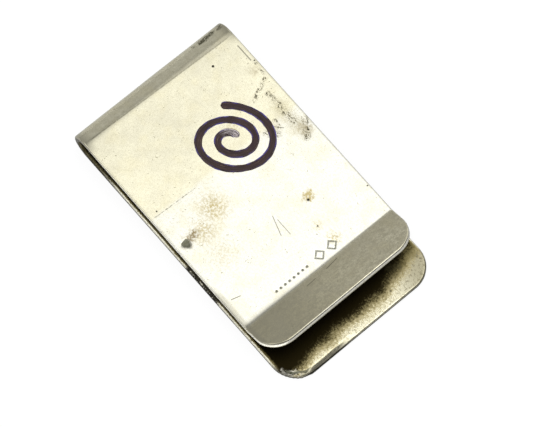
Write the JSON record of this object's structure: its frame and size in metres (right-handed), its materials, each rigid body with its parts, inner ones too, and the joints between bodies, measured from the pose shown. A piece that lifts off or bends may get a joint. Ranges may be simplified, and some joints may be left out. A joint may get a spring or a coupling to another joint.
{
  "type": "money clip",
  "caption": "Folded strip money clip: a flat front plate, a round spring fold, a straight back tongue and a kicked-up thumb lip that opens the clip for folded notes.",
  "frame": {"origin": "centre of the footprint, on the outer face of the front plate", "axes": "+X from the fold to the open end, +Y across the clip, +Z from the front plate towards the back tongue"},
  "size_m": [0.0508, 0.0286, 0.0075],
  "materials": {
    "silver_sheet": "polished sterling silver, worn, with light warm tarnish and fine scratches"
  },
  "bodies": {
    "plate": {"front_plate": "silver_sheet", "spring_fold": "silver_sheet"},
    "tongue": {"back_tongue": "silver_sheet", "thumb_lip": "silver_sheet"}
  },
  "joints": [
    {"name": "spring_opening", "type": "hinge", "parent": "plate", "child": "tongue", "pos_m": [-0.0225, 0, 0.0029], "axis": [0, -1, 0], "range_deg": [-4.3, 10], "stiffness_Nm_per_rad": 6.2}
  ]
}
